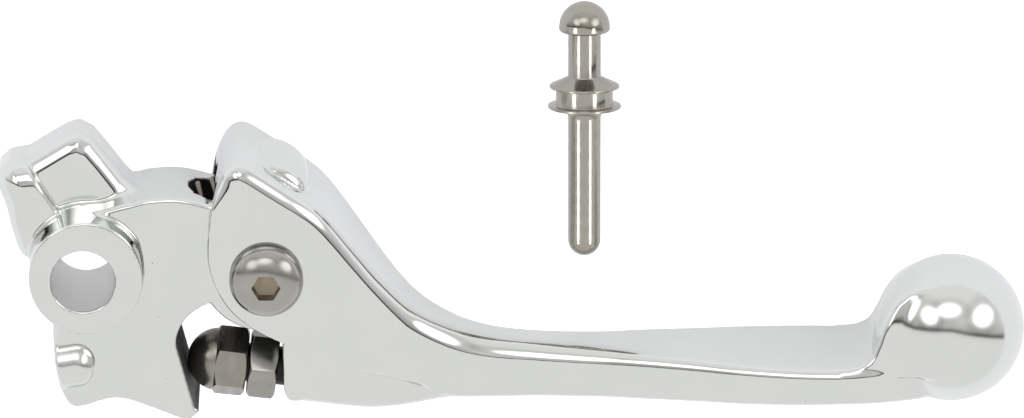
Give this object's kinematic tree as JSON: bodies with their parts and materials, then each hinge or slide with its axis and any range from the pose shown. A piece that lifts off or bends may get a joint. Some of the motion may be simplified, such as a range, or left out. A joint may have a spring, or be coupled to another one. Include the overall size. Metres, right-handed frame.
{
  "type": "motorcycle clutch lever",
  "caption": "Hydraulic clutch lever: cast knuckle with pivot bore and pushrod socket, spring-loaded folding blade with ball end, screw adjuster and loose pushrod.",
  "frame": {"origin": "on the axis of the pivot bore, half way through the blade's depth", "axes": "+X runs to the ball end, +Y away from the grip, +Z along the pivot axis, out of the front; the lever lies on its back"},
  "size_m": [0.1314, 0.0534, 0.0225],
  "materials": {
    "polished_aluminium": "mirror polished",
    "stainless_steel": "satin turned",
    "dark_stainless_steel": "satin turned",
    "zinc_plated_steel": "bright zinc plate",
    "spring_steel": "drawn wire",
    "bearing_bronze": "machined"
  },
  "bodies": {
    "knuckle": {"knuckle": "polished_aluminium", "pivot_bush": "bearing_bronze", "return_spring": "spring_steel"},
    "thrust_washers": {"thrust_washer_front": "bearing_bronze", "thrust_washer_back": "bearing_bronze"},
    "blade": {"blade": "polished_aluminium", "pivot_bolt": "stainless_steel", "adjuster_jam_nut": "zinc_plated_steel"},
    "adjuster_stud": {"adjuster_stud": "stainless_steel"},
    "adjuster_cap_nut": {"adjuster_cap_nut": "dark_stainless_steel"},
    "pushrod": {"pushrod": "stainless_steel"}
  },
  "joints": [
    {"name": "reach_adjust", "type": "hinge", "parent": "knuckle", "child": "thrust_washers", "pos_m": [0.0235, 0.0007, 0], "axis": [0, 0, 1], "range_deg": [0, 5], "deforming": ["return_spring"]},
    {"name": "blade_fold", "type": "hinge", "parent": "thrust_washers", "child": "blade", "pos_m": [0.0235, 0.0007, 0], "axis": [0, 0, 1], "range_deg": [0, 7], "stiffness_Nm_per_rad": 0.3, "springref_deg": -17.19, "deforming": ["return_spring"]},
    {"name": "adjuster_travel", "type": "slide", "parent": "blade", "child": "adjuster_stud", "axis": [-0.9938, 0.1115, 0], "range_m": [0, 0.00117]},
    {"name": "adjuster_turn", "type": "hinge", "parent": "adjuster_stud", "child": "adjuster_cap_nut", "pos_m": [0.0186, -0.0142, 0], "axis": [-0.9938, 0.1115, 0], "continuous": true},
    {"name": "pushrod_lift", "type": "slide", "parent": "knuckle", "child": "pushrod", "axis": [0, 0, 1], "range_m": [0, 0.03]}
  ],
  "couplings": [
    {"joint": "reach_adjust", "follows": "adjuster_travel", "rad_per_m": 74.5}
  ]
}
